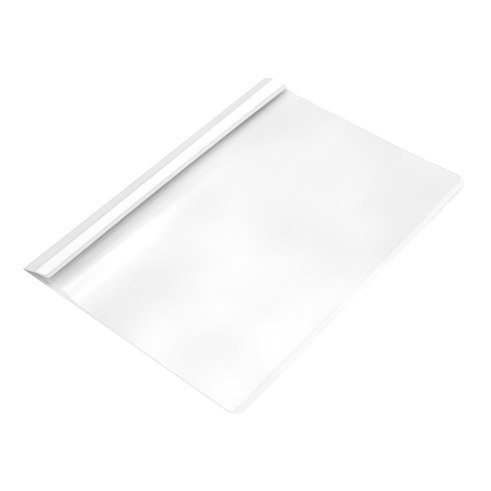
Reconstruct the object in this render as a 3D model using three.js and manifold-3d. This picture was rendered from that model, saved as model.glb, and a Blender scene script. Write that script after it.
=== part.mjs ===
// A4 report folder with a clear front cover and a two-prong paper fastener, lying closed.
// Millimetres. +X runs from the spine to the fore edge, +Y up the spine, +Z up.
// The origin is on the ground, under the middle of the back cover.
//
// The white back sheet wraps round the spine and lies over the front as a strip. A clear film
// pocket on the strip holds a paper label, and the clear cover is welded under the strip. Inside,
// a tinned steel fastener stands in a carrier welded to the back sheet.

import * as THREE from 'three';
import * as BufferGeometryUtils from 'three/addons/utils/BufferGeometryUtils.js';
import Module from 'manifold-3d';

const wasm = await Module();
wasm.setup();

// Back sheet
const folderWidth = 226;
const sheetLength = 310;
const polyThickness = 0.2;
const backCornerRadius = 10;
const cornerLift = 3; // the upper fore corner of the folder curls up by this much
const liftWidth = 70; // over this much of the top edge
const liftLength = 95; // and of the fore edge

// Fold at the spine, and the strip that lies over the front
const foldHeight = 0.1; // the hinge line above the back sheet's upper face
const foldSetback = 0.35; // the strip starts this far from the hinge line
const stripWidth = 31.1; // measured along the sheet, from the hinge line
const spinePanelWidth = 12.2; // from the hinge line to the second crease
const creaseHalfWidth = 0.7;
const lowerSpineAngle = 17; // slope of the spine panel at the lower end, in degrees
const upperSpineAngle = 27; // and at the upper end
const lowerLabelAngle = 13.2; // slope of the label panel at the lower end
const upperLabelAngle = -1.2; // and at the upper end
const stripEndTaper = 2.3; // the strip is this much shorter at its free edge, at each end

// Label pocket and the paper in it
const windowThickness = 0.1;
const labelThickness = 0.15;
const pocketWeldWidth = 0.7;
const pocketRamp = 0.25; // film width that climbs from the weld onto the paper
const labelSideClearance = 0.15;
const freeEdgeMargin = 4.1; // bare strip between the pocket and the free edge
const pocketEndInset = 0.3;
const labelEndInset = 1;

// Clear cover
const clearThickness = 0.18;
const clearCornerRadius = 5;
const clearEndInset = 0.6;
const foreMargin = 6; // the back sheet reaches this far past the clear cover
const lipWidth = 2.4; // free lip of the strip past the weld
const coverSeatWidth = 4.4;
const dipDistance = 8; // the cover dips here, measured from the weld
const lowerDip = 1.6;
const upperDip = 2.4;
const crestDistance = 19.8;
const crestSpread = 7;
const lowerCrest = 5.2;
const upperCrest = 0.3;
const footDistance = 66.8; // from here on the cover lies on the back sheet

// Small gap between films that lie or are welded on each other
const filmGap = 0.04;
const coverRestGap = 0.1;

// Prong fastener, pressed from one strip of tinned steel
const holePitch = 80;
const holeInset = 15; // from the spine to the line of the holes
const prongWidth = 4.6;
const steelThickness = 0.3;
const bendRadius = 0.3; // inside of each bend
const baseWidth = 8;
const baseCornerRadius = 2;
const baseEndInset = 3; // the wide base stops this far short of the prongs
const prongTipGap = 3;
const prongTipFlat = 0.02; // what is left flat between the round corners of a tip

// Carrier that holds the fastener's base down
const carrierThickness = 0.3;
const carrierWidth = 26;
const carrierOverhang = 34; // past each prong
const carrierCornerRadius = 4;
const channelWidth = 11; // raised over the fastener's base
const channelOverhang = 5; // past each prong
const channelSlope = 2;
const slotClearance = 0.5;

// Compressor bar, which the prongs are folded down onto
const barWidth = 12;
const barOverhang = 14; // past each prong
const barWebThickness = 0.6;
const barBeadWidth = 2.4;
const barBeadHeight = 0.7; // above the web
const barCornerRadius = 4;
const barRestGap = 0.1;
const prongRestGap = 0.1;

// Facets
const rowCount = 14;
const freeColumnCount = 28;
const flatColumnCount = 12;
const liftSteps = 8;
const cornerSteps = 6;
const arcSegments = 6;

const spineX = -folderWidth / 2;
const backTop = polyThickness;
const hingeHeight = backTop + foldHeight;
const halfPoly = polyThickness / 2;
const halfClear = clearThickness / 2;
const fastenerX = spineX + holeInset;

const materials = {
  whiteSheet: new THREE.MeshStandardMaterial({ color: 0xf4f4f4, roughness: 0.45, metalness: 0 }),
  clearFilm: new THREE.MeshStandardMaterial({
    color: 0xffffff, roughness: 0.12, metalness: 0, transparent: true, opacity: 0.3,
  }),
  paper: new THREE.MeshStandardMaterial({ color: 0xfdfdfd, roughness: 0.85, metalness: 0 }),
  carrier: new THREE.MeshStandardMaterial({ color: 0xeeeeee, roughness: 0.5, metalness: 0 }),
  tinnedSteel: new THREE.MeshStandardMaterial({ color: 0xc9cbcd, roughness: 0.3, metalness: 1 }),
};

const folder = new THREE.Group();

function addPart(name, geometry, material) {
  const mesh = new THREE.Mesh(geometry, material);
  mesh.name = name;
  folder.add(mesh);
}

// Numbers from start to end in equal steps, both ends included
function steps(start, end, count) {
  return Array.from({ length: count + 1 }, (_, i) => start + ((end - start) * i) / count);
}

// Solids for cutting and joining
function solidOf(geometry) {
  const bare = geometry.index ? geometry.toNonIndexed() : geometry.clone();
  bare.deleteAttribute('normal');
  bare.deleteAttribute('uv');
  const merged = BufferGeometryUtils.mergeVertices(bare, 1e-4);
  return new wasm.Manifold(new wasm.Mesh({
    numProp: 3,
    vertProperties: new Float32Array(merged.attributes.position.array),
    triVerts: new Uint32Array(merged.index.array),
  }));
}

function geometryOf(solid) {
  const mesh = solid.getMesh();
  const geometry = new THREE.BufferGeometry();
  geometry.setAttribute('position', new THREE.BufferAttribute(mesh.vertProperties, 3));
  geometry.setIndex(new THREE.BufferAttribute(mesh.triVerts, 1));
  return geometry;
}

// A rectangle with round corners
function roundedRectangle(lowX, highX, lowY, highY, radius) {
  const shape = new THREE.Shape();
  shape.absarc(highX - radius, lowY + radius, radius, -Math.PI / 2, 0, false);
  shape.absarc(highX - radius, highY - radius, radius, 0, Math.PI / 2, false);
  shape.absarc(lowX + radius, highY - radius, radius, Math.PI / 2, Math.PI, false);
  shape.absarc(lowX + radius, lowY + radius, radius, Math.PI, 1.5 * Math.PI, false);
  return shape;
}

// A plate of that outline between two heights
function plate(shape, lowZ, highZ) {
  const options = { depth: highZ - lowZ, bevelEnabled: false, curveSegments: arcSegments };
  return new THREE.ExtrudeGeometry(shape, options).translate(0, 0, lowZ);
}

// A closed thin sheet between two grids of points that share their columns and rows
function sheet(columns, rows, lowPoint, highPoint) {
  const positions = [];
  for (const point of [lowPoint, highPoint]) {
    for (const column of columns) {
      for (const row of rows) {
        positions.push(...point(column, row));
      }
    }
  }
  const at = (layer, i, j) => (layer * columns.length + i) * rows.length + j;
  const index = [];
  const quad = (a, b, c, d) => index.push(a, b, c, a, c, d);
  const lastI = columns.length - 1;
  const lastJ = rows.length - 1;
  for (let i = 0; i < lastI; i++) {
    for (let j = 0; j < lastJ; j++) {
      quad(at(1, i, j), at(1, i + 1, j), at(1, i + 1, j + 1), at(1, i, j + 1));
      quad(at(0, i, j), at(0, i, j + 1), at(0, i + 1, j + 1), at(0, i + 1, j));
    }
    quad(at(0, i, 0), at(0, i + 1, 0), at(1, i + 1, 0), at(1, i, 0));
    quad(at(0, i + 1, lastJ), at(0, i, lastJ), at(1, i, lastJ), at(1, i + 1, lastJ));
  }
  for (let j = 0; j < lastJ; j++) {
    quad(at(0, 0, j + 1), at(0, 0, j), at(1, 0, j), at(1, 0, j + 1));
    quad(at(0, lastI, j), at(0, lastI, j + 1), at(1, lastI, j + 1), at(1, lastI, j));
  }
  const geometry = new THREE.BufferGeometry();
  geometry.setAttribute('position', new THREE.Float32BufferAttribute(positions, 3));
  geometry.setIndex(index);
  return geometry;
}

const rows = steps(-1, 1, rowCount);

// Share of the way up the spine, 0 at the lower end and 1 at the upper end
const upSpine = (y) => y / sheetLength + 0.5;

// Middle of the strip's sheet at a developed distance from the hinge line: the spine panel climbs
// straight, turns through the crease on an arc, and goes on as the label panel
function stripSection(distance, y) {
  const { lerp, degToRad } = THREE.MathUtils;
  const start = degToRad(lerp(lowerSpineAngle, upperSpineAngle, upSpine(y)));
  const end = degToRad(lerp(lowerLabelAngle, upperLabelAngle, upSpine(y)));
  const creaseStart = spinePanelWidth - creaseHalfWidth;
  const onPanel = Math.min(distance, creaseStart);
  const onArc = THREE.MathUtils.clamp(distance - creaseStart, 0, 2 * creaseHalfWidth);
  const onLabel = Math.max(distance - creaseStart - 2 * creaseHalfWidth, 0);
  const curvature = (end - start) / (2 * creaseHalfWidth);
  const angle = start + curvature * onArc;
  const arcX = (Math.sin(angle) - Math.sin(start)) / curvature;
  const arcZ = (Math.cos(start) - Math.cos(angle)) / curvature;
  return {
    x: spineX + onPanel * Math.cos(start) + arcX + onLabel * Math.cos(angle),
    z: hingeHeight + onPanel * Math.sin(start) + arcZ + onLabel * Math.sin(angle),
    normalX: -Math.sin(angle),
    normalZ: Math.cos(angle),
  };
}

// A point a given height above the middle of the strip's sheet
function overStrip(distance, y, height) {
  const section = stripSection(distance, y);
  return [section.x + height * section.normalX, y, section.z + height * section.normalZ];
}

// Place along the spine of a row, -1 at the lower end and 1 at the upper end
function stripY(distance, row, inset = 0) {
  return row * (sheetLength / 2 - (stripEndTaper * distance) / stripWidth - inset);
}

// Half the length of a sheet whose corners are round from cornerX on
function halfLength(x, cornerX, radius) {
  const into = Math.min(Math.max(x - cornerX, 0), radius);
  return sheetLength / 2 - radius + Math.sqrt(radius ** 2 - into ** 2);
}

// Columns through a round corner, closer together towards the fore edge
const cornerColumns = (cornerX, radius) => steps(0, Math.PI / 2, cornerSteps)
  .map((angle) => cornerX + radius * Math.sin(angle));

// How far both covers curl up at the upper fore corner
const liftX = folderWidth / 2 - liftWidth;
const liftY = sheetLength / 2 - liftLength;
const lift = (x, y) => cornerLift
  * THREE.MathUtils.smoothstep(x, liftX, folderWidth / 2)
  * THREE.MathUtils.smoothstep(y, liftY, sheetLength / 2);

// Back cover: one sheet with round corners at the fore edge, flat but for the curled corner
const backCornerX = folderWidth / 2 - backCornerRadius;
const backColumns = [
  spineX,
  ...steps(liftX, backCornerX, liftSteps),
  ...cornerColumns(backCornerX, backCornerRadius).slice(1),
];
const liftRow = liftY / (sheetLength / 2);
const backRows = [-1, ...steps(liftRow, 1, liftSteps)];
const onBack = (height) => (x, row) => {
  const y = row * halfLength(x, backCornerX, backCornerRadius);
  return [x, y, lift(x, y) + height];
};
addPart('back_cover', sheet(backColumns, backRows, onBack(0), onBack(backTop)),
  materials.whiteSheet);

// Front strip: the same sheet past the spine fold
const creaseStart = spinePanelWidth - creaseHalfWidth;
const creaseEnd = spinePanelWidth + creaseHalfWidth;
const stripColumns = [
  ...steps(foldSetback, creaseStart, 3),
  ...steps(creaseStart, creaseEnd, 3).slice(1),
  ...steps(creaseEnd, stripWidth, 5).slice(1),
];
const onStrip = (height) => (distance, row) =>
  overStrip(distance, stripY(distance, row), height);
addPart('front_strip', sheet(stripColumns, rows, onStrip(-halfPoly), onStrip(halfPoly)),
  materials.whiteSheet);

// Label pocket: clear film welded to the strip along both long edges and open at its ends
const pocketStart = creaseEnd;
const pocketEnd = stripWidth - freeEdgeMargin;
const weldedHeight = halfPoly + filmGap;
const raisedHeight = weldedHeight + labelThickness + filmGap;
const raisedStart = pocketStart + pocketWeldWidth + pocketRamp;
const raisedEnd = pocketEnd - pocketWeldWidth - pocketRamp;
const pocketColumns = [
  pocketStart,
  pocketStart + pocketWeldWidth,
  ...steps(raisedStart, raisedEnd, 4),
  pocketEnd - pocketWeldWidth,
  pocketEnd,
];
const filmHeight = (distance) =>
  (distance >= raisedStart && distance <= raisedEnd ? raisedHeight : weldedHeight);
const onPocket = (lift) => (distance, row) =>
  overStrip(distance, stripY(distance, row, pocketEndInset), filmHeight(distance) + lift);
addPart('label_window', sheet(pocketColumns, rows, onPocket(0), onPocket(windowThickness)),
  materials.clearFilm);

// Label: a strip of white paper that rests in the pocket
const labelColumns = steps(raisedStart + labelSideClearance, raisedEnd - labelSideClearance, 4);
const onLabel = (height) => (distance, row) =>
  overStrip(distance, stripY(distance, row, labelEndInset), height);
addPart('label_insert',
  sheet(labelColumns, rows, onLabel(weldedHeight), onLabel(weldedHeight + labelThickness)),
  materials.paper);

// Clear cover. Its station is the distance past the end of the weld, along the strip while it is
// under the strip and level from there on.
const weldEnd = stripWidth - lipWidth;
const clearRest = backTop + coverRestGap + halfClear;
const clearEdgeX = folderWidth / 2 - foreMargin;
const underStrip = -(halfPoly + filmGap + halfClear);

function coverMiddle(station, y) {
  const weld = overStrip(weldEnd + Math.min(station, 0), y, underStrip);
  const past = Math.max(station, 0);
  const share = upSpine(y);
  const dip = THREE.MathUtils.lerp(lowerDip, upperDip, share);
  const crest = upperCrest + (lowerCrest - upperCrest) * (1 - share) ** 2;
  const fall = 1 - THREE.MathUtils.smoothstep(past, 0, footDistance);
  const hollow = (past / dipDistance) * Math.exp(1 - past / dipDistance);
  const hump = past > 0 ? Math.exp(-(((past - crestDistance) / crestSpread) ** 2)) : 0;
  const rise = (weld[2] - clearRest - dip * hollow) * fall + crest * hump * fall;
  const x = weld[0] + past;
  return { x, z: station > 0 ? clearRest + rise + lift(x, y) : weld[2] };
}

function coverPoint(station, y, height) {
  const reach = 0.01;
  const before = coverMiddle(station - reach, y);
  const after = coverMiddle(station + reach, y);
  const middle = coverMiddle(station, y);
  const length = Math.hypot(after.x - before.x, after.z - before.z);
  const normalX = -(after.z - before.z) / length;
  const normalZ = (after.x - before.x) / length;
  return [middle.x + height * normalX, y, middle.z + height * normalZ];
}

const coverSpan = clearEdgeX - overStrip(weldEnd, 0, underStrip)[0];
const cornerStart = coverSpan - clearCornerRadius;
const coverColumns = [
  ...steps(-coverSeatWidth, 0, 2),
  ...steps(0, footDistance, freeColumnCount).slice(1),
  ...steps(footDistance, cornerStart, flatColumnCount).slice(1, -1),
  ...cornerColumns(cornerStart, clearCornerRadius),
];
const coverHalfLength = (station) =>
  halfLength(station, cornerStart, clearCornerRadius) - clearEndInset;
const onCover = (height) => (station, row) =>
  coverPoint(station, row * coverHalfLength(station), height);
addPart('clear_cover', sheet(coverColumns, rows, onCover(-halfClear), onCover(halfClear)),
  materials.clearFilm);

// Levels of the fastener's stack, from the back sheet up
const baseLow = backTop + filmGap;
const baseHigh = baseLow + steelThickness;
const carrierRaised = baseHigh + filmGap;
const barLow = carrierRaised + carrierThickness + barRestGap;
const webHigh = barLow + barWebThickness;
const prongLow = webHigh + prongRestGap;
const prongHigh = prongLow + steelThickness;
const halfPitch = holePitch / 2;
const slotWidth = prongWidth + 2 * slotClearance;
const slotLength = steelThickness + 2 * (bendRadius + slotClearance);

// Slots for both prongs, as cutters that run right through a piece
function prongSlots() {
  const cutters = [-halfPitch, halfPitch].map((y) => {
    const outline = roundedRectangle(fastenerX - slotWidth / 2, fastenerX + slotWidth / 2,
      y - slotLength / 2, y + slotLength / 2, slotClearance);
    return solidOf(plate(outline, 0, prongHigh));
  });
  return cutters[0].add(cutters[1]);
}

// Carrier: a plastic strip welded to the back sheet, raised over the fastener's base
const carrierFlat = backTop + filmGap;
const carrierHalfLength = halfPitch + carrierOverhang;
const channelHalfLength = halfPitch + channelOverhang;

function carrierHeight(x, y) {
  const across = 1 - THREE.MathUtils.smoothstep(
    Math.abs(x - fastenerX), channelWidth / 2, channelWidth / 2 + channelSlope);
  const along = 1 - THREE.MathUtils.smoothstep(
    Math.abs(y), channelHalfLength, channelHalfLength + channelSlope);
  return carrierFlat + (carrierRaised - carrierFlat) * across * along;
}

const slopeSteps = 3;
const channelEdge = channelWidth / 2 + channelSlope;
const carrierColumns = [
  fastenerX - carrierWidth / 2,
  ...steps(fastenerX - channelEdge, fastenerX - channelWidth / 2, slopeSteps),
  ...steps(fastenerX + channelWidth / 2, fastenerX + channelEdge, slopeSteps),
  fastenerX + carrierWidth / 2,
];
const carrierRows = [
  -carrierHalfLength,
  ...steps(-channelHalfLength - channelSlope, -channelHalfLength, slopeSteps),
  ...steps(channelHalfLength, channelHalfLength + channelSlope, slopeSteps),
  carrierHalfLength,
];
const carrierSheet = sheet(carrierColumns, carrierRows,
  (x, y) => [x, y, carrierHeight(x, y)],
  (x, y) => [x, y, carrierHeight(x, y) + carrierThickness]);
const carrierOutline = roundedRectangle(
  fastenerX - carrierWidth / 2, fastenerX + carrierWidth / 2,
  -carrierHalfLength, carrierHalfLength, carrierCornerRadius);
const carrier = solidOf(carrierSheet)
  .intersect(solidOf(plate(carrierOutline, 0, prongHigh)))
  .subtract(prongSlots());
addPart('fastener_carrier', geometryOf(carrier), materials.carrier);

// Prong fastener: a flat base, and a prong at each end that comes up through the slots and is
// folded inwards over the compressor bar
function prongOutline() {
  const inner = halfPitch - steelThickness / 2;
  const outer = halfPitch + steelThickness / 2;
  const outerRadius = bendRadius + steelThickness;
  const tip = prongTipGap / 2;
  const root = halfPitch - 2 * baseEndInset;
  const shape = new THREE.Shape();
  shape.moveTo(root, baseLow);
  shape.lineTo(outer - outerRadius, baseLow);
  shape.absarc(outer - outerRadius, baseLow + outerRadius, outerRadius, -Math.PI / 2, 0, false);
  shape.lineTo(outer, prongHigh - outerRadius);
  shape.absarc(outer - outerRadius, prongHigh - outerRadius, outerRadius, 0, Math.PI / 2, false);
  shape.lineTo(tip, prongHigh);
  shape.lineTo(tip, prongLow);
  shape.lineTo(inner - bendRadius, prongLow);
  shape.absarc(inner - bendRadius, prongLow - bendRadius, bendRadius, Math.PI / 2, 0, true);
  shape.lineTo(inner, baseHigh + bendRadius);
  shape.absarc(inner - bendRadius, baseHigh + bendRadius, bendRadius, 0, -Math.PI / 2, true);
  shape.lineTo(root, baseHigh);
  return shape;
}

// The outline stands in the Y-Z plane and is extruded across the prong's width
const standUp = new THREE.Matrix4().makeBasis(
  new THREE.Vector3(0, 1, 0), new THREE.Vector3(0, 0, 1), new THREE.Vector3(1, 0, 0));
const prongRibbon = plate(prongOutline(), -prongWidth / 2, prongWidth / 2).applyMatrix4(standUp);
const tipRadius = (prongWidth - prongTipFlat) / 2;
const prongPlan = roundedRectangle(prongTipGap / 2, halfPitch + prongWidth,
  -prongWidth / 2, prongWidth / 2, tipRadius);
const prongTrim = plate(prongPlan, 0, prongHigh + steelThickness).rotateZ(Math.PI / 2);
const upperProng = solidOf(prongRibbon).intersect(solidOf(prongTrim));
const lowerProng = upperProng.rotate([0, 0, 180]);
const baseHalfLength = halfPitch - baseEndInset;
const basePlate = solidOf(plate(roundedRectangle(-baseWidth / 2, baseWidth / 2,
  -baseHalfLength, baseHalfLength, baseCornerRadius), baseLow, baseHigh));
const fastener = basePlate.add(upperProng).add(lowerProng).translate([fastenerX, 0, 0]);
addPart('prong_fastener', geometryOf(fastener), materials.tinnedSteel);

// Compressor bar: a flat web between two raised beads, with a slot for each prong
function barSection() {
  const half = barWidth / 2;
  const beadRadius = barBeadWidth / 2;
  const shape = new THREE.Shape();
  shape.moveTo(-half, barLow);
  shape.lineTo(half, barLow);
  shape.lineTo(half, webHigh);
  shape.absellipse(half - beadRadius, webHigh, beadRadius, barBeadHeight, 0, Math.PI, false);
  shape.lineTo(-half + barBeadWidth, webHigh);
  shape.absellipse(-half + beadRadius, webHigh, beadRadius, barBeadHeight, 0, Math.PI, false);
  return shape;
}

const barHalfLength = halfPitch + barOverhang;
const alongY = new THREE.Matrix4().makeBasis(
  new THREE.Vector3(1, 0, 0), new THREE.Vector3(0, 0, 1), new THREE.Vector3(0, -1, 0));
const barRibbon = plate(barSection(), -barHalfLength, barHalfLength)
  .applyMatrix4(alongY)
  .translate(fastenerX, 0, 0);
const barPlan = plate(
  roundedRectangle(fastenerX - barWidth / 2, fastenerX + barWidth / 2,
    -barHalfLength, barHalfLength, barCornerRadius),
  0, prongHigh + barBeadHeight);
const bar = solidOf(barRibbon).intersect(solidOf(barPlan)).subtract(prongSlots());
addPart('compressor_bar', geometryOf(bar), materials.carrier);

export default folder;
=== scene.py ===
"""Looks of an A4 report folder with a clear front cover, lying closed on a white table.

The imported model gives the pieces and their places. This script lays finer sheets over the CAD
sheets, closes the fold at the spine, and gives every piece its material. Shapes are written in
millimetres, and the scene is in metres.
"""

import math

import bpy
import numpy as np
from mathutils import Matrix, Vector


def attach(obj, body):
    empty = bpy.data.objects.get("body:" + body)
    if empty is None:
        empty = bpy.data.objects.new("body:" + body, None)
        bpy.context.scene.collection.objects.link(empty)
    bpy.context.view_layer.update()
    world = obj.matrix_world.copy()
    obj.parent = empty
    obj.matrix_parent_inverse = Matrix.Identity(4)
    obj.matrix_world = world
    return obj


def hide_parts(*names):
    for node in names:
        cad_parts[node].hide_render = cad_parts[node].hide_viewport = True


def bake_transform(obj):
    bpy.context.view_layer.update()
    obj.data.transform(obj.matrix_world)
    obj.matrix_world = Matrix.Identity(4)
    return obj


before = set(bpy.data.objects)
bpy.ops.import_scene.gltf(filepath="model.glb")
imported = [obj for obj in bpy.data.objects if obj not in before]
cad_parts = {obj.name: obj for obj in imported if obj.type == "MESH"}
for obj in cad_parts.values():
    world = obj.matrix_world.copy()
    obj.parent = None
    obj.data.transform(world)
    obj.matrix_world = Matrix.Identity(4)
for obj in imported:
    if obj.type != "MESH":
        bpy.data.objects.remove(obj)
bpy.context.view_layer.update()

MM = 0.001

# Back sheet
FOLDER_WIDTH = 226.0
SHEET_LENGTH = 310.0
POLY = 0.2  # thickness of the white sheet
BACK_CORNER = 10.0
CORNER_LIFT = 3.0
LIFT_WIDTH = 70.0
LIFT_LENGTH = 95.0

# Fold at the spine
FOLD_HEIGHT = 0.1
BACK_SETBACK = 0.3
FOLD_SETBACK = 0.35
FOLD_OVERLAP = 0.02
FOLD_HANDLE = 0.22

# Strip on the front, with angles in degrees at the lower and the upper end
STRIP_WIDTH = 31.1
SPINE_PANEL = 12.2
CREASE_HALF = 0.7
SPINE_ANGLES = (17.0, 27.0)
LABEL_ANGLES = (12.9, -1.2)
LABEL_EASE = 3.0  # above 1, the label panel's angle changes mostly near the upper end
STRIP_TAPER = 2.3
LINE_HALF = 0.8
OUTER_SCORE = 2.4

# Label pocket and label
WINDOW = 0.1  # thickness of the pocket's film
LABEL = 0.15  # thickness of the label
POCKET_WELD = 0.7
POCKET_RAMP = 0.25
LABEL_SIDE_GAP = 0.15
FREE_EDGE_MARGIN = 4.1
POCKET_END_INSET = 0.3
LABEL_END_INSET = 1.0

# Clear cover, with dips and crests at the lower and the upper end
CLEAR = 0.18  # thickness of the cover's film
CLEAR_CORNER = 5.0
CLEAR_END_INSET = 0.6
FORE_MARGIN = 6.0
LIP = 2.4
COVER_SEAT = 4.4
DIP_DISTANCE = 8.0
DIPS = (0.7, 1.0)
CREST_DISTANCE = 19.8
CREST_SPREAD = 8.5
CRESTS = (4.6, 0.3)
FOOT_DISTANCE = 66.8
FILM_GAP = 0.04
REST_GAP = 0.1

# Shallow waves in the clear cover, with lengths that are wavelengths over two pi
WAVE_HEIGHT = 0.4
FIRST_WAVE = {"share": 0.62, "x": 17.0, "y": 33.0, "phase": 0.5, "bend": 0.8, "bend_y": 41.0}
SECOND_WAVE = {"share": 0.38, "x": 9.5, "y": 27.0, "phase": 1.3, "swell_x": 60.0, "swell_y": 19.0}
WAVES_START = (60.0, 95.0)  # distances from the spine
FORE_EDGE_CALM = {"share": 0.75, "width": 25.0}
END_CALM = {"share": 0.6, "width": 30.0}

# Long bow that the clear cover keeps from its roll
BOW_HEIGHT = 1.8
BOW_MIDDLE = -6.0
BOW_HALF = 50.0
BOW_SLANT = 0.08
BOW_FADE = {"share": 0.6, "from": -20.0, "to": 140.0}

# Meshes
SHARP_ANGLE = math.radians(35)
# Painted shade: a darker border along each cut edge of a sheet, and along both ends of the fold
CUT_EDGE = 0.4  # width of the shaded border at a cut edge
FOLD_EDGE = 0.1  # the same on the fold, as a share of its turn
SLOPE_REACH = 0.01

# Grid lines over each stretch of a sheet, and along the spine
BACK_COLUMNS = (24, 28)
BACK_CORNER_COLUMNS = 14
BACK_ROWS = 91
STRIP_COLUMNS = 140
POCKET_COLUMNS = (6, 6, 40, 6, 6)
LABEL_COLUMNS = 30
STRIP_ROWS = 101
FOLD_COLUMNS = 17
FOLD_ROWS = 61
CLEAR_COLUMNS = (8, 90, 80)
CLEAR_CORNER_COLUMNS = 12
CLEAR_ROWS = 161

# Noise in the materials, with scales in waves per metre and depths in metres
NOISE_SPAN = (0.2, 0.8)
# Clouds: a random tone in the plastics and a haze in the clear film; in the white sheet's colour
# they are a painted reflection of the cover's cloudy sheen
TONE_HAZE_AND_PAINTED_REFLECTION_CLOUDS = {"scale": 14.0, "detail": 1.0}
POCKET_CLOUDS = {"scale": 40.0, "detail": 1.0}
GRAIN = {"scale": 2600.0, "detail": 2.0}
GRAIN_GLOSS = (-0.02, 0.03)
GRAIN_BUMP = {"depth": 0.00002, "strength": 0.012}
FIBRES = {"scale": 900.0, "detail": 6.0, "stretch": (1, 0.35, 1)}
FIBRE_BUMP = {"depth": 0.00003, "strength": 0.15}
ROLLED = {"scale": 700.0, "detail": 4.0, "stretch": (1, 0.04, 1)}
ROLLED_BUMP = {"depth": 0.00002, "strength": 1.0}

# Plastic, paper and steel
# Grey that paints shade into pressed lines, weld lines and cut edges
PAINTED_SHADE_GREY = 0.3
POLY_IOR = 1.49
POLY_SPECULAR = 0.3
PAPER_GREYS = (0.972, 0.986)
PAPER_ROUGHNESS = 0.9
STEEL_GREYS = (0.68, 0.8)
STEEL_ROUGHNESS = (0.2, 0.36)

# Clear films
FILM_TINT = 0.992
FILM_GREYS = (0.955, 0.975)
FILM_MIRROR = 0.045  # share of light that the film reflects when it is seen straight on
SLANT_BLEND = 0.5
SLANT_POWER = 5.0
FILM_GLOSS_SHARE = 0.6
# Painted shade along the films' cut edges: a less clear share and a darker colour
FILM_EDGE_PAINTED_SHARE = 0.3
FILM_EDGE_PAINTED_SHADE = 0.6

# Floor and light, in metres
FLOOR_SIZE = 6.0
FLOOR_DROP = 0.0001
FLOOR_COLOUR = 0.7
FLOOR_GLOW = 0.5
DOME_LEVEL = 0.77
DOME_TILT = {"direction": (0.9, -0.44, 0.0), "level": 0.12}
SOFT_LIGHTS = (
    {"direction": (-0.53, 0.53, 0.66), "edge": (0.965, 0.9995), "level": 1.25},
    {"direction": (-0.02, 0.34, 0.94), "edge": (0.955, 0.996), "level": 1.7},
)
KEY_LAMP = {"place": (-0.03, 0.04, 0.42), "size": 0.4, "power": 0.58}

# Camera, fitted to the folder's corners in the photograph
CAMERA_AZIMUTH = 40.4193
CAMERA_ELEVATION = 47.7584
CAMERA_ROLL = 1.0426
CAMERA_FROM_SPINE_FOOT = (515.08, -327.14, 665.13)
FOCAL_PIXELS = 1096.85
PHOTO_PIXELS = 491
SENSOR = 36.0

# Places that follow from the sizes
SPINE_X = -FOLDER_WIDTH / 2
FORE_X = FOLDER_WIDTH / 2
BACK_START = SPINE_X + BACK_SETBACK
LIFT_START = FORE_X - LIFT_WIDTH
HALF_LENGTH = SHEET_LENGTH / 2
HALF_POLY = POLY / 2
HINGE_Z = POLY + FOLD_HEIGHT
CREASE_START = SPINE_PANEL - CREASE_HALF
WELD_END = STRIP_WIDTH - LIP
CLEAR_REST = POLY + REST_GAP + CLEAR / 2
CLEAR_EDGE_X = FORE_X - FORE_MARGIN
UNDER_STRIP = -(HALF_POLY + FILM_GAP + CLEAR / 2)
POCKET_START = SPINE_PANEL + CREASE_HALF
POCKET_END = STRIP_WIDTH - FREE_EDGE_MARGIN
FIRST_WELD_END = POCKET_START + POCKET_WELD
SECOND_WELD_START = POCKET_END - POCKET_WELD
RAISED_START = FIRST_WELD_END + POCKET_RAMP
RAISED_END = SECOND_WELD_START - POCKET_RAMP
WELDED_HEIGHT = HALF_POLY + FILM_GAP
RAISED_HEIGHT = WELDED_HEIGHT + LABEL + FILM_GAP

# Pressed scores and weld lines on the strip: how much painted shade each gets, and how deep it is
STRIP_LINES = (
    {"at": OUTER_SCORE, "shade": 0.35, "depth": 0.06},
    {"at": CREASE_START, "shade": 0.7, "depth": 0.06},
    {"at": WELD_END - COVER_SEAT / 2, "shade": 0.25, "depth": 0.05},
    {"at": WELD_END, "shade": 0.3, "depth": 0.05},
)


# Shapes of the sheets

def smoothstep(value, low, high):
    share = np.clip((value - low) / (high - low), 0.0, 1.0)
    return share * share * (3 - 2 * share)


def mix(pair, share):
    return pair[0] + (pair[1] - pair[0]) * share


def up_spine(y):
    """Share of the way up the spine, from 0 at its foot to 1."""
    return y / SHEET_LENGTH + 0.5


def half_length(x, corner_x, radius):
    """Half the length of a sheet whose corners are round from corner_x on."""
    into = np.clip(x - corner_x, 0.0, radius)
    return HALF_LENGTH - radius + np.sqrt(radius**2 - into**2)


def lift(x, y):
    """How far both covers curl up at the upper fore corner."""
    across = smoothstep(x, LIFT_START, FORE_X)
    along = smoothstep(y, HALF_LENGTH - LIFT_LENGTH, HALF_LENGTH)
    return CORNER_LIFT * across * along


def over_strip(distance, y, height):
    """A point at a height over the middle of the strip's sheet, at a developed distance."""
    start = np.radians(mix(SPINE_ANGLES, up_spine(y)))
    end = np.radians(mix(LABEL_ANGLES, up_spine(y) ** LABEL_EASE))
    on_panel = np.minimum(distance, CREASE_START)
    on_arc = np.clip(distance - CREASE_START, 0.0, 2 * CREASE_HALF)
    on_label = np.maximum(distance - CREASE_START - 2 * CREASE_HALF, 0.0)
    curvature = (end - start) / (2 * CREASE_HALF)
    angle = start + curvature * on_arc
    x = SPINE_X + on_panel * np.cos(start) + on_label * np.cos(angle)
    x = x + (np.sin(angle) - np.sin(start)) / curvature
    z = HINGE_Z + on_panel * np.sin(start) + on_label * np.sin(angle)
    z = z + (np.cos(start) - np.cos(angle)) / curvature
    return x - height * np.sin(angle), y, z + height * np.cos(angle)


def strip_y(distance, row, inset=0.0):
    return row * (HALF_LENGTH - STRIP_TAPER * distance / STRIP_WIDTH - inset)


def line_shape(distance, place):
    """Cross-section of a pressed line, 1 in its middle."""
    return np.clip(1 - np.abs(distance - place) / LINE_HALF, 0.0, 1.0)


def strip_lines(distance, key):
    """The shade or the depth of the strip's lines at a developed distance."""
    return sum(line[key] * line_shape(distance, line["at"]) for line in STRIP_LINES)


# Painted shade along the strip's pressed scores and weld lines
def strip_shade(distance, row):
    return strip_lines(distance, "shade")


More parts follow.
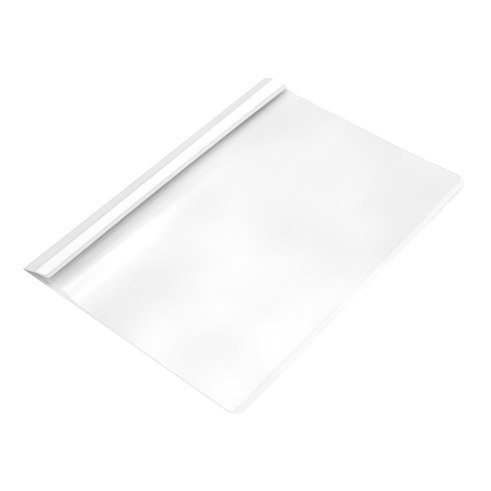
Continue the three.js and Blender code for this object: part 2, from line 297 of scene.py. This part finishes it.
def waves(x, y):
    """Shallow waves, calmer near the fore edge and the two ends."""
    first = FIRST_WAVE
    across = np.sin(x / first["x"] + first["bend"] * np.sin(y / first["bend_y"]))
    first_shape = across * np.cos(y / first["y"] + first["phase"])
    second = SECOND_WAVE
    slanted = np.sin(x / second["x"] - y / second["y"] + second["phase"])
    second_shape = slanted * np.sin(y / second["swell_y"] + x / second["swell_x"])
    inside = smoothstep(x, SPINE_X + WAVES_START[0], SPINE_X + WAVES_START[1])
    fore = smoothstep(x, CLEAR_EDGE_X - FORE_EDGE_CALM["width"], CLEAR_EDGE_X)
    ends = smoothstep(np.abs(y), HALF_LENGTH - END_CALM["width"], HALF_LENGTH)
    inside = inside * (1 - FORE_EDGE_CALM["share"] * fore) * (1 - END_CALM["share"] * ends)
    shape = 1 + first["share"] * first_shape + second["share"] * second_shape
    return WAVE_HEIGHT * inside * shape


def bow(x, y):
    """Long low bow, slanted a little and lower toward the upper end."""
    across = np.clip((x - BOW_MIDDLE + BOW_SLANT * y) / BOW_HALF, -1.0, 1.0)
    fade = 1 - BOW_FADE["share"] * smoothstep(y, BOW_FADE["from"], BOW_FADE["to"])
    return BOW_HEIGHT * np.cos(across * math.pi / 2) ** 2 * fade


def cover_middle(station, y):
    """Middle of the clear cover at a distance past the end of its weld."""
    weld_x, _, weld_z = over_strip(WELD_END + np.minimum(station, 0.0), y, UNDER_STRIP)
    past = np.maximum(station, 0.0)
    share = up_spine(y)
    crest = CRESTS[1] + (CRESTS[0] - CRESTS[1]) * (1 - share) ** 2
    fall = 1 - smoothstep(past, 0.0, FOOT_DISTANCE)
    hollow = (past / DIP_DISTANCE) * np.exp(1 - past / DIP_DISTANCE)
    hump = np.exp(-(((past - CREST_DISTANCE) / CREST_SPREAD) ** 2))
    rise = (weld_z - CLEAR_REST - mix(DIPS, share) * hollow) * fall + crest * hump * fall
    x = weld_x + past
    free_z = CLEAR_REST + rise + lift(x, y) + bow(x, y) + waves(x, y)
    return x, np.where(station > 0, free_z, weld_z)


def cover_point(station, y, height):
    """A point at a height over the middle of the clear cover, square to its slope."""
    before_x, before_z = cover_middle(station - SLOPE_REACH, y)
    after_x, after_z = cover_middle(station + SLOPE_REACH, y)
    x, z = cover_middle(station, y)
    length = np.hypot(after_x - before_x, after_z - before_z)
    slope_x = (after_z - before_z) / length
    slope_z = (after_x - before_x) / length
    return x - height * slope_x, y, z + height * slope_z


def fold_curve(turn, y):
    """Middle line of the fold, round from the back sheet into the strip, and its direction."""
    slope = np.radians(mix(SPINE_ANGLES, up_spine(y)))
    end_x, _, end_z = over_strip(FOLD_SETBACK + FOLD_OVERLAP, y, 0.0)
    points_x = (BACK_START + FOLD_OVERLAP, BACK_START - FOLD_HANDLE,
                end_x - FOLD_HANDLE * np.cos(slope), end_x)
    points_z = (HALF_POLY, HALF_POLY, end_z - FOLD_HANDLE * np.sin(slope), end_z)
    rest = 1 - turn

    def place(points):
        first, second, third, last = points
        return (rest**3 * first + 3 * rest**2 * turn * second
                + 3 * rest * turn**2 * third + turn**3 * last)

    def direction(points):
        first, second, third, last = points
        return (rest**2 * (second - first) + 2 * rest * turn * (third - second)
                + turn**2 * (last - third))

    return place(points_x), place(points_z), direction(points_x), direction(points_z)


# Meshes

def stretches(stops, counts):
    """Grid lines from each stop to the next."""
    spans = zip(stops, stops[1:], counts)
    return np.concatenate([np.linspace(low, high, count) for low, high, count in spans])


def corner_columns(corner_x, radius, count):
    """Grid lines over a round corner, closer together toward the edge."""
    return corner_x + radius * np.sin(np.linspace(0, math.pi / 2, count))


def row_lines(count):
    """Grid lines along the spine, from -1 at its foot to 1."""
    return np.linspace(-1, 1, count)


def with_edges(lines, inset):
    """Grid lines, each once, with one more close to each end, for the painted shade along a cut
    edge.
    """
    return np.unique(np.concatenate([lines, [lines[0] + inset, lines[-1] - inset]]))


def mesh_object(name, points, faces):
    mesh = bpy.data.meshes.new(name)
    mesh.from_pydata((np.asarray(points) * MM).tolist(), [], faces)
    mesh.validate()
    mesh.polygons.foreach_set("use_smooth", [True] * len(mesh.polygons))
    mesh.set_sharp_from_angle(angle=SHARP_ANGLE)
    mesh.update()
    piece = bpy.data.objects.new(name, mesh)
    bpy.context.scene.collection.objects.link(piece)
    return piece


def sheet(name, columns, rows, low_point, high_point, painted_line_shade=None, edge=CUT_EDGE):
    """A closed thin sheet between two grids that share their columns and rows.

    The mesh's shade attribute, a painted shade, is 1 along the cut edges. Elsewhere it is the
    painted shade of lines at a column and row, where that is given.
    """
    columns = with_edges(columns, edge)
    rows = with_edges(rows, CUT_EDGE / HALF_LENGTH)
    column_grid, row_grid = np.meshgrid(columns, rows, indexing="ij")
    layers = []
    for point in (low_point, high_point):
        x, y, z = np.broadcast_arrays(*point(column_grid, row_grid))
        layers.append(np.stack([x, y, z], axis=-1).reshape(-1, 3))
    wide, long = len(columns), len(rows)

    def at(layer, i, j):
        return (layer * wide + i) * long + j

    faces = []
    for i in range(wide - 1):
        for j in range(long - 1):
            faces.append((at(1, i, j), at(1, i + 1, j), at(1, i + 1, j + 1), at(1, i, j + 1)))
            faces.append((at(0, i, j), at(0, i, j + 1), at(0, i + 1, j + 1), at(0, i + 1, j)))
        end = long - 1
        faces.append((at(0, i, 0), at(0, i + 1, 0), at(1, i + 1, 0), at(1, i, 0)))
        faces.append((at(0, i + 1, end), at(0, i, end), at(1, i, end), at(1, i + 1, end)))
    for j in range(long - 1):
        end = wide - 1
        faces.append((at(0, 0, j + 1), at(0, 0, j), at(1, 0, j), at(1, 0, j + 1)))
        faces.append((at(0, end, j), at(0, end, j + 1), at(1, end, j + 1), at(1, end, j)))
    piece = mesh_object(name, np.concatenate(layers), faces)
    shade = np.zeros(column_grid.shape)
    if painted_line_shade is not None:
        shade += painted_line_shade(column_grid, row_grid)
    shade[[0, -1], :] = 1.0
    shade[:, [0, -1]] = 1.0
    attribute = piece.data.attributes.new("shade", "FLOAT", "POINT")
    attribute.data.foreach_set("value", np.tile(shade.reshape(-1), 2).astype(np.float32))
    return piece


# Parts of materials

def new_material(name):
    """A material, its node tree and its Principled shader."""
    material = bpy.data.materials.new(name)
    material.use_nodes = True
    return material, material.node_tree, material.node_tree.nodes["Principled BSDF"]


def grey(value):
    return (value, value, value, 1)


def arithmetic(tree, operation, first, second):
    """A math node whose inputs are each a number or another node's output."""
    node = tree.nodes.new("ShaderNodeMath")
    node.operation = operation
    for socket, value in zip(node.inputs, (first, second)):
        if isinstance(value, (int, float)):
            socket.default_value = value
        else:
            tree.links.new(value, socket)
    return node.outputs["Value"]


def noise(tree, scale, detail, stretch=(1, 1, 1)):
    """Noise in the part's own frame."""
    coordinates = tree.nodes.new("ShaderNodeTexCoord")
    mapping = tree.nodes.new("ShaderNodeMapping")
    mapping.inputs["Scale"].default_value = stretch
    texture = tree.nodes.new("ShaderNodeTexNoise")
    texture.inputs["Scale"].default_value = scale
    texture.inputs["Detail"].default_value = detail
    tree.links.new(coordinates.outputs["Object"], mapping.inputs["Vector"])
    tree.links.new(mapping.outputs["Vector"], texture.inputs["Vector"])
    return texture.outputs["Fac"]


def smooth_range(tree, source, span, low, high):
    """A value spread smoothly from low to high over a span of the source."""
    node = tree.nodes.new("ShaderNodeMapRange")
    node.interpolation_type = "SMOOTHSTEP"
    node.inputs["From Min"].default_value = span[0]
    node.inputs["From Max"].default_value = span[1]
    node.inputs["To Min"].default_value = low
    node.inputs["To Max"].default_value = high
    tree.links.new(source, node.inputs["Value"])
    return node.outputs["Result"]


def ranged(tree, source, low, high):
    """Noise spread smoothly over a range, with no hard borders."""
    return smooth_range(tree, source, NOISE_SPAN, low, high)


def grey_range(tree, source, low, high):
    """A neutral colour that varies between two greys."""
    blend = tree.nodes.new("ShaderNodeMix")
    blend.data_type = "RGBA"
    blend.inputs["A"].default_value = grey(low)
    blend.inputs["B"].default_value = grey(high)
    tree.links.new(ranged(tree, source, 0.0, 1.0), blend.inputs["Factor"])
    return blend.outputs["Result"]


def bump(tree, shader, source, depth, strength):
    node = tree.nodes.new("ShaderNodeBump")
    node.inputs["Distance"].default_value = depth
    node.inputs["Strength"].default_value = strength
    tree.links.new(source, node.inputs["Height"])
    tree.links.new(node.outputs["Normal"], shader.inputs["Normal"])


def shade_times(tree, factor):
    """The mesh's shade, times a factor."""
    attribute = tree.nodes.new("ShaderNodeAttribute")
    attribute.attribute_name = "shade"
    return arithmetic(tree, "MULTIPLY", attribute.outputs["Fac"], factor)


def shaded(tree, colour, depth):
    """Darkens a colour where the mesh's shade is high: painted shade at pressed lines, weld lines
    and cut edges.
    """
    blend = tree.nodes.new("ShaderNodeMix")
    blend.data_type = "RGBA"
    blend.inputs["B"].default_value = grey(PAINTED_SHADE_GREY)
    tree.links.new(shade_times(tree, depth), blend.inputs["Factor"])
    tree.links.new(colour, blend.inputs["A"])
    return blend.outputs["Result"]


# Materials

def poly_material(name, greys, roughness, pressed):
    """Opaque plastic: faint clouds and painted shade in its colour, and a fine grain in its gloss
    and relief.
    """
    material, tree, shader = new_material(name)
    # On the white sheet these colour clouds are a painted reflection; on the other plastics they
    # are a random tone
    clouds = noise(tree, **TONE_HAZE_AND_PAINTED_REFLECTION_CLOUDS)
    # pressed sets the depth of the painted shade at pressed lines, weld lines and cut edges
    colour = shaded(tree, grey_range(tree, clouds, *greys), pressed)
    grain = noise(tree, **GRAIN)
    gloss = ranged(tree, grain, roughness + GRAIN_GLOSS[0], roughness + GRAIN_GLOSS[1])
    tree.links.new(colour, shader.inputs["Base Color"])
    tree.links.new(gloss, shader.inputs["Roughness"])
    shader.inputs["IOR"].default_value = POLY_IOR
    shader.inputs["Specular IOR Level"].default_value = POLY_SPECULAR
    bump(tree, shader, grain, **GRAIN_BUMP)
    return material


def paper_material():
    """Uncoated paper with fine fibres along the spine."""
    material, tree, shader = new_material("label_paper")
    fibres = noise(tree, **FIBRES)
    tree.links.new(grey_range(tree, fibres, *PAPER_GREYS), shader.inputs["Base Color"])
    shader.inputs["Roughness"].default_value = PAPER_ROUGHNESS
    bump(tree, shader, fibres, **FIBRE_BUMP)
    return material


def film_material(name, haze, sheen, clouds):
    """Clear film: see-through, more mirror-like at a slant, with a little milky haze."""
    material, tree, shader = new_material(name)
    clear = tree.nodes.new("ShaderNodeBsdfTransparent")
    clear.inputs["Color"].default_value = grey(FILM_TINT)
    slant = tree.nodes.new("ShaderNodeLayerWeight")
    slant.inputs["Blend"].default_value = SLANT_BLEND
    grazing = arithmetic(tree, "POWER", slant.outputs["Facing"], SLANT_POWER)
    grazing = arithmetic(tree, "MULTIPLY", grazing, 1 - FILM_MIRROR)
    cloudy = noise(tree, **clouds)
    milky = ranged(tree, cloudy, FILM_MIRROR + haze[0], FILM_MIRROR + haze[1])
    share = arithmetic(tree, "ADD", grazing, milky)
    # Painted shade at the film's cut edges
    share = arithmetic(tree, "ADD", share, shade_times(tree, FILM_EDGE_PAINTED_SHARE))
    colour = shaded(tree, grey_range(tree, cloudy, *FILM_GREYS), FILM_EDGE_PAINTED_SHADE)
    tree.links.new(colour, shader.inputs["Base Color"])
    tree.links.new(ranged(tree, cloudy, *sheen), shader.inputs["Roughness"])
    shader.inputs["Metallic"].default_value = FILM_GLOSS_SHARE
    film = tree.nodes.new("ShaderNodeMixShader")
    tree.links.new(share, film.inputs["Fac"])
    tree.links.new(clear.outputs["BSDF"], film.inputs[1])
    tree.links.new(shader.outputs["BSDF"], film.inputs[2])
    tree.links.new(film.outputs["Shader"], tree.nodes["Material Output"].inputs["Surface"])
    return material


def steel_material():
    """Bright tinned steel, rolled along the spine."""
    material, tree, shader = new_material("tinned_steel")
    rolled = noise(tree, **ROLLED)
    tree.links.new(grey_range(tree, rolled, *STEEL_GREYS), shader.inputs["Base Color"])
    tree.links.new(ranged(tree, rolled, *STEEL_ROUGHNESS), shader.inputs["Roughness"])
    shader.inputs["Metallic"].default_value = 1.0
    bump(tree, shader, rolled, **ROLLED_BUMP)
    return material


# The white sheet's clouds between these greys are a painted reflection of the cover's cloudy sheen
white_sheet = poly_material("white_sheet", greys=(0.8, 0.88), roughness=0.42, pressed=0.22)
# The strip and the fold are one sheet with the back; their lower greys are painted shade for the
# strip's panels that slope away from the light
strip_white_painted_shade = poly_material("strip_white_painted_shade", greys=(0.74, 0.78), roughness=0.4, pressed=0.25)
carrier_plastic = poly_material("carrier_plastic", greys=(0.8, 0.84), roughness=0.45, pressed=0.0)
bar_plastic = poly_material("bar_plastic", greys=(0.82, 0.85), roughness=0.28, pressed=0.0)
label_paper = paper_material()
clear_film = film_material("clear_film", haze=(0.02, 0.06), sheen=(0.28, 0.32), clouds=TONE_HAZE_AND_PAINTED_REFLECTION_CLOUDS)
pocket_film = film_material("pocket_film", haze=(0.0, 0.02), sheen=(0.12, 0.2),
                            clouds=POCKET_CLOUDS)
tinned_steel = steel_material()


# Pieces

def finish_piece(piece, body, material, node):
    piece.data.materials.append(material)
    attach(piece, body)
    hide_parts(node)


def make_back_sheet():
    corner_x = FORE_X - BACK_CORNER
    columns = np.concatenate([
        stretches((BACK_START, LIFT_START, corner_x), BACK_COLUMNS),
        corner_columns(corner_x, BACK_CORNER, BACK_CORNER_COLUMNS),
    ])

    def on_back(height):
        def point(x, row):
            y = row * half_length(x, corner_x, BACK_CORNER)
            return x, y, lift(x, y) + height
        return point

    piece = sheet("back_sheet", columns, row_lines(BACK_ROWS), on_back(0.0), on_back(POLY))
    finish_piece(piece, "back", white_sheet, "back_cover")


def make_strip():
    """The strip, with its lines pressed into the outer face."""
    columns = np.linspace(FOLD_SETBACK, STRIP_WIDTH, STRIP_COLUMNS)

    def inner(distance, row):
        return over_strip(distance, strip_y(distance, row), -HALF_POLY)

    def outer(distance, row):
        height = HALF_POLY - strip_lines(distance, "depth")
        return over_strip(distance, strip_y(distance, row), height)

    piece = sheet("strip_sheet", columns, row_lines(STRIP_ROWS), inner, outer, strip_shade)
    finish_piece(piece, "front", strip_white_painted_shade, "front_strip")


def make_spine_fold():
    """The fold that joins the back sheet to the strip."""
    turns = np.linspace(0.0, 1.0, FOLD_COLUMNS)

    def on_fold(outward):
        def point(turn, row):
            y = row * HALF_LENGTH
            x, z, along_x, along_z = fold_curve(turn, y)
            length = np.hypot(along_x, along_z)
            return x - outward * along_z / length, y, z + outward * along_x / length
        return point

    piece = sheet("spine_fold", turns, row_lines(FOLD_ROWS), on_fold(-HALF_POLY),
                  on_fold(HALF_POLY), edge=FOLD_EDGE)
    piece.data.materials.append(strip_white_painted_shade)
    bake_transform(piece)


def make_pocket():
    """The film pocket, welded flat along both sides and raised over the label."""
    stops = (POCKET_START, FIRST_WELD_END, RAISED_START, RAISED_END, SECOND_WELD_START, POCKET_END)

    def on_pocket(extra):
        def point(distance, row):
            rise = smoothstep(distance, FIRST_WELD_END, RAISED_START)
            rise = rise * (1 - smoothstep(distance, RAISED_END, SECOND_WELD_START))
            height = WELDED_HEIGHT + (RAISED_HEIGHT - WELDED_HEIGHT) * rise + extra
            return over_strip(distance, strip_y(distance, row, POCKET_END_INSET), height)
        return point

    piece = sheet("label_pocket", stretches(stops, POCKET_COLUMNS), row_lines(STRIP_ROWS),
                  on_pocket(0.0), on_pocket(WINDOW))
    finish_piece(piece, "front", pocket_film, "label_window")


def make_label():
    columns = np.linspace(RAISED_START + LABEL_SIDE_GAP, RAISED_END - LABEL_SIDE_GAP,
                          LABEL_COLUMNS)

    def on_label(extra):
        def point(distance, row):
            y = strip_y(distance, row, LABEL_END_INSET)
            return over_strip(distance, y, WELDED_HEIGHT + extra)
        return point

    piece = sheet("label_card", columns, row_lines(STRIP_ROWS), on_label(0.0), on_label(LABEL))
    finish_piece(piece, "front", label_paper, "label_insert")


def make_clear_sheet():
    """The clear cover, from its weld under the strip to the fore edge."""
    weld_x = over_strip(WELD_END, 0.0, UNDER_STRIP)[0]
    corner_start = CLEAR_EDGE_X - weld_x - CLEAR_CORNER
    columns = np.concatenate([
        stretches((-COVER_SEAT, 0.0, FOOT_DISTANCE, corner_start), CLEAR_COLUMNS),
        corner_columns(corner_start, CLEAR_CORNER, CLEAR_CORNER_COLUMNS),
    ])

    def on_cover(height):
        def point(station, row):
            reach = half_length(station, corner_start, CLEAR_CORNER) - CLEAR_END_INSET
            return cover_point(station, row * reach, height)
        return point

    piece = sheet("clear_sheet", columns, row_lines(CLEAR_ROWS), on_cover(-CLEAR / 2),
                  on_cover(CLEAR / 2))
    finish_piece(piece, "front", clear_film, "clear_cover")


make_back_sheet()
make_strip()
make_spine_fold()
make_pocket()
make_label()
make_clear_sheet()

# Fastener pieces keep their CAD solids and get their finish
for node, material in (
    ("fastener_carrier", carrier_plastic),
    ("prong_fastener", tinned_steel),
    ("compressor_bar", bar_plastic),
):
    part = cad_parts[node]
    part.data.materials.clear()
    part.data.materials.append(material)


# Floor, light and camera

def make_floor():
    """Pale floor that reads as white to the camera and in reflections, and keeps shadows."""
    half = FLOOR_SIZE / 2
    mesh = bpy.data.meshes.new("floor")
    corners = [(-half, -half, 0), (half, -half, 0), (half, half, 0), (-half, half, 0)]
    mesh.from_pydata(corners, [], [(0, 1, 2, 3)])
    floor = bpy.data.objects.new("floor", mesh)
    floor.location.z = -FLOOR_DROP
    bpy.context.scene.collection.objects.link(floor)
    material, tree, shader = new_material("floor")
    shader.inputs["Base Color"].default_value = grey(FLOOR_COLOUR)
    shader.inputs["Roughness"].default_value = 1.0
    shader.inputs["Specular IOR Level"].default_value = 0.0
    shader.inputs["Emission Color"].default_value = grey(1)
    rays = tree.nodes.new("ShaderNodeLightPath").outputs
    seen = arithmetic(tree, "MAXIMUM", rays["Is Camera Ray"], rays["Is Glossy Ray"])
    glow = arithmetic(tree, "MULTIPLY", seen, FLOOR_GLOW)
    tree.links.new(glow, shader.inputs["Emission Strength"])
    floor.data.materials.append(material)


def toward(tree, direction, aim):
    """How directly a ray's direction points to an aim, 1 when straight at it."""
    node = tree.nodes.new("ShaderNodeVectorMath")
    node.operation = "DOT_PRODUCT"
    node.inputs[1].default_value = Vector(aim).normalized()
    tree.links.new(direction, node.inputs[0])
    return node.outputs["Value"]


def make_world():
    """Soft dome, a little brighter on the camera's side, with soft lights above and behind.

    The camera itself sees plain white.
    """
    world = bpy.data.worlds.new("studio")
    bpy.context.scene.world = world
    world.use_nodes = True
    tree = world.node_tree
    background = tree.nodes["Background"]
    direction = tree.nodes.new("ShaderNodeTexCoord").outputs["Generated"]
    lean = toward(tree, direction, DOME_TILT["direction"])
    tilt = arithmetic(tree, "MULTIPLY", lean, DOME_TILT["level"])
    level = arithmetic(tree, "ADD", tilt, DOME_LEVEL)
    for light in SOFT_LIGHTS:
        aimed = toward(tree, direction, light["direction"])
        glow = smooth_range(tree, aimed, light["edge"], 0.0, light["level"])
        level = arithmetic(tree, "ADD", level, glow)
    rays = tree.nodes.new("ShaderNodeLightPath").outputs
    white = tree.nodes.new("ShaderNodeMix")
    white.inputs["B"].default_value = 1.0
    tree.links.new(rays["Is Camera Ray"], white.inputs["Factor"])
    tree.links.new(level, white.inputs["A"])
    tree.links.new(white.outputs["Result"], background.inputs["Strength"])
    background.inputs["Color"].default_value = grey(1)


def make_lamp():
    """Round lamp that looks straight down on the folder."""
    light = bpy.data.lights.new("key", "AREA")
    light.shape = "DISK"
    light.size = KEY_LAMP["size"]
    light.energy = KEY_LAMP["power"]
    lamp = bpy.data.objects.new("key", light)
    lamp.location = KEY_LAMP["place"]
    lamp.rotation_mode = "QUATERNION"
    lamp.rotation_quaternion = Vector((0, 0, -1)).to_track_quat("-Z", "Y")
    bpy.context.scene.collection.objects.link(lamp)


def make_camera():
    azimuth = math.radians(CAMERA_AZIMUTH)
    elevation = math.radians(CAMERA_ELEVATION)
    roll = math.radians(CAMERA_ROLL)
    forward = Vector((-math.sin(azimuth) * math.cos(elevation),
                      math.cos(azimuth) * math.cos(elevation), -math.sin(elevation)))
    level = Vector((math.cos(azimuth), math.sin(azimuth), 0))
    down = forward.cross(level)
    right = level * math.cos(roll) + down * math.sin(roll)
    up = level * math.sin(roll) - down * math.cos(roll)
    data = bpy.data.cameras.new("camera")
    data.sensor_width = SENSOR
    data.lens = FOCAL_PIXELS / PHOTO_PIXELS * SENSOR
    camera = bpy.data.objects.new("camera", data)
    foot = Vector((SPINE_X, -HALF_LENGTH, 0))
    place = (Vector(CAMERA_FROM_SPINE_FOOT) + foot) * MM
    axes = Matrix((right, up, -forward)).transposed().to_4x4()
    camera.matrix_world = Matrix.Translation(place) @ axes
    bpy.context.scene.collection.objects.link(camera)
    bpy.context.scene.camera = camera


make_floor()
make_world()
make_lamp()
make_camera()
bpy.context.scene.view_settings.view_transform = "Standard"
